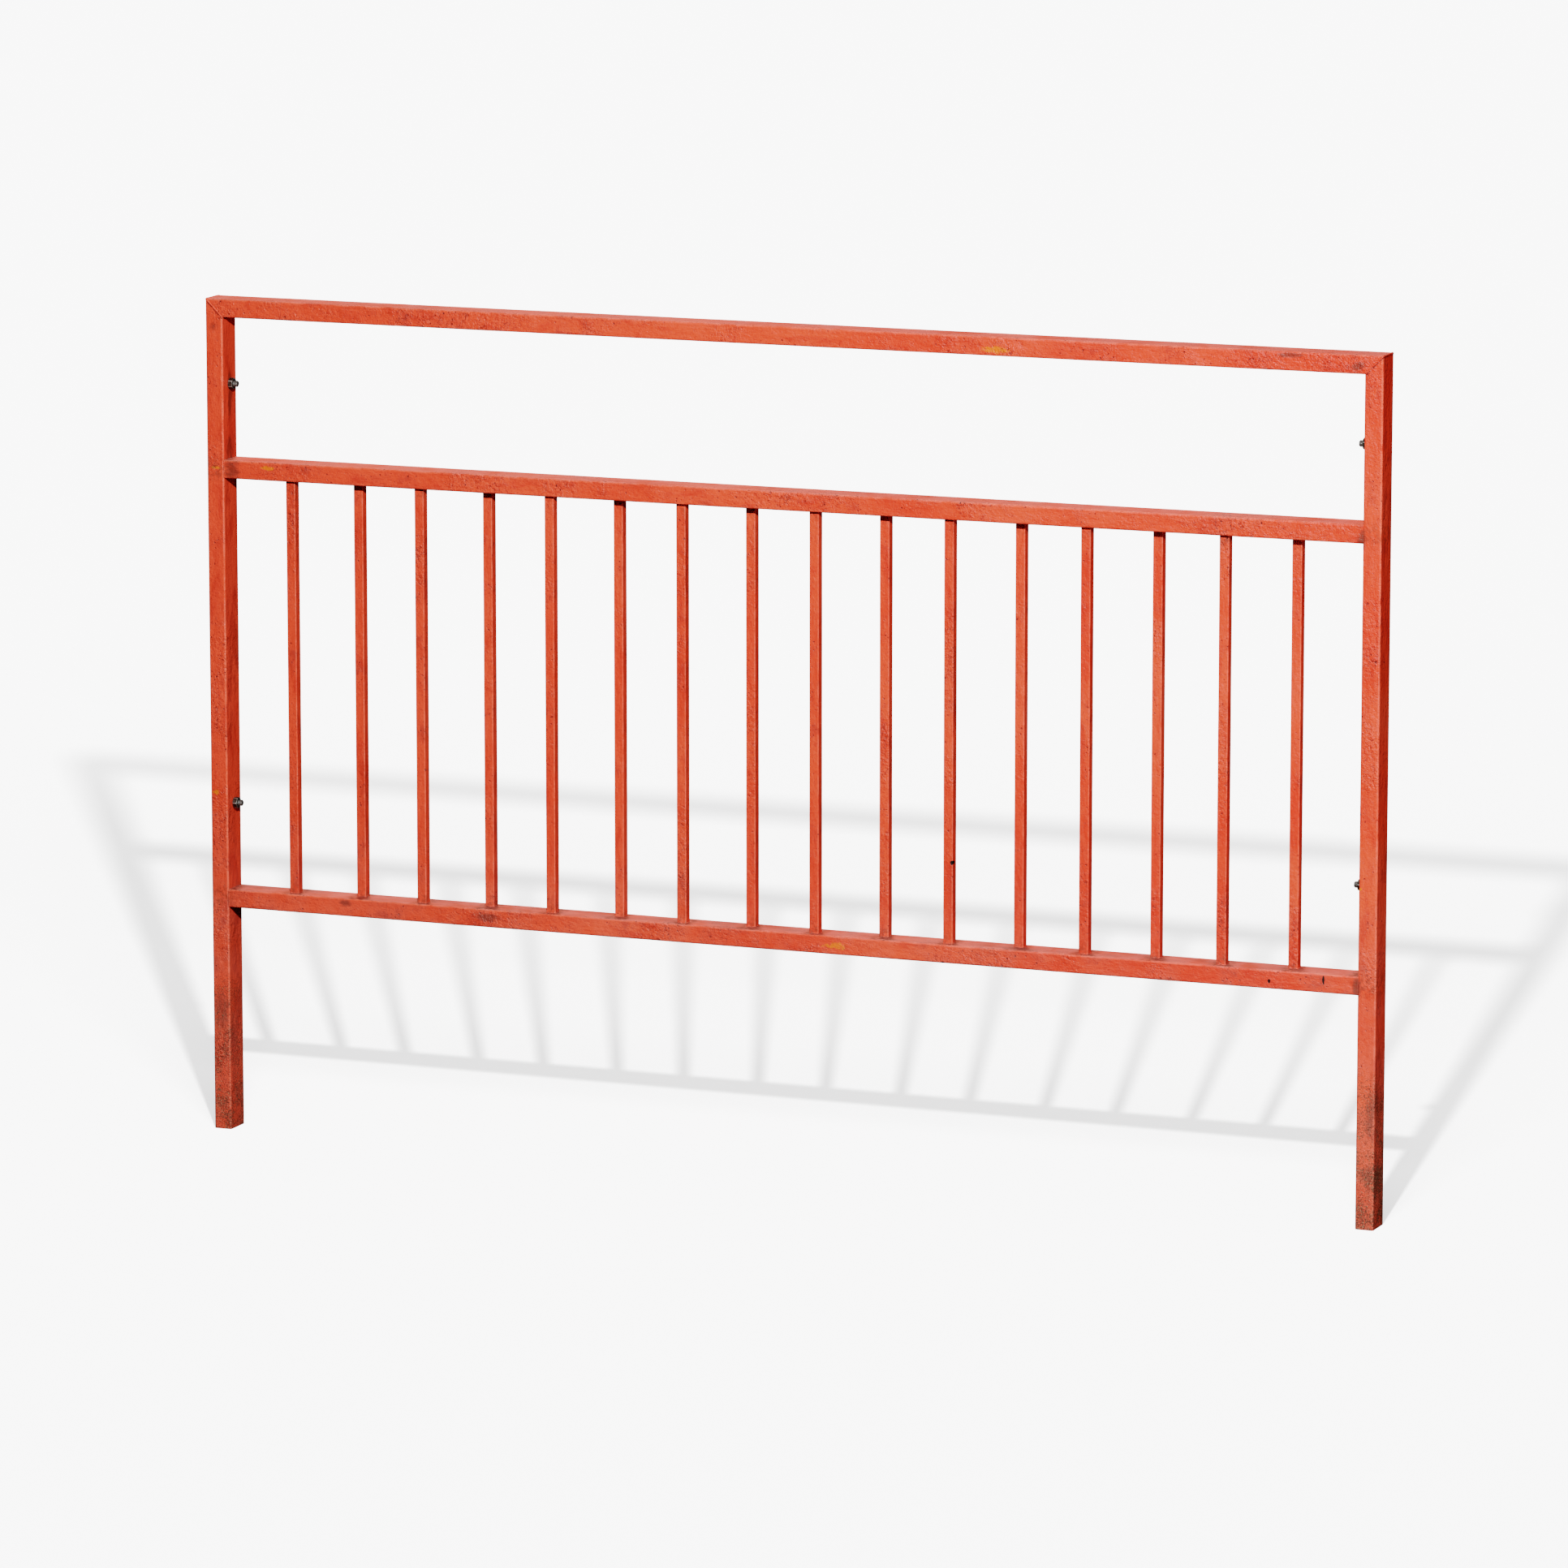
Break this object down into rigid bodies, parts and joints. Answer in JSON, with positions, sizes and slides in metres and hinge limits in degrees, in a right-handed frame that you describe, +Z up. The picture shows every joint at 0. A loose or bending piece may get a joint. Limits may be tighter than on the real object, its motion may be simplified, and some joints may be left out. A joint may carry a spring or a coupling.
{
  "type": "livestock panel",
  "caption": "Rigid welded livestock panel: two tube legs, three rails, staggered upright bars between the lower two rails, and threaded studs with hex nuts on the legs' inner faces.",
  "frame": {"origin": "on the ground, at the middle of the panel's length and depth", "axes": "+X along the panel to the right seen from the front, +Y through its depth to the back, +Z up"},
  "size_m": [2, 0.05, 1.37],
  "materials": {
    "frame_paint": "red-orange paint with orange peel, pits, scratches and grime at the feet",
    "bar_paint": "red-orange paint with orange peel, pits and scratches",
    "stud_steel": "dull dark plain steel with bright worn edges",
    "nut_steel": "dark oxidised steel with bright worn edges",
    "insert_steel": "zinc-plated steel"
  },
  "bodies": {
    "root": {"left_post": "frame_paint", "right_post": "frame_paint", "top_rail": "frame_paint", "mid_rail": "frame_paint", "lower_rail": "frame_paint", "bar_01": "bar_paint", "bar_02": "bar_paint", "bar_03": "bar_paint", "bar_04": "bar_paint", "bar_05": "bar_paint", "bar_06": "bar_paint", "bar_07": "bar_paint", "bar_08": "bar_paint", "bar_09": "bar_paint", "bar_10": "bar_paint", "bar_11": "bar_paint", "bar_12": "bar_paint", "bar_13": "bar_paint", "bar_14": "bar_paint", "bar_15": "bar_paint", "bar_16": "bar_paint", "left_upper_insert": "insert_steel", "left_upper_stud": "stud_steel", "left_upper_nut": "nut_steel", "left_lower_insert": "insert_steel", "left_lower_stud": "stud_steel", "left_lower_nut": "nut_steel", "right_upper_insert": "insert_steel", "right_upper_stud": "stud_steel", "right_upper_nut": "nut_steel", "right_lower_insert": "insert_steel", "right_lower_stud": "stud_steel", "right_lower_nut": "nut_steel"}
  },
  "joints": []
}
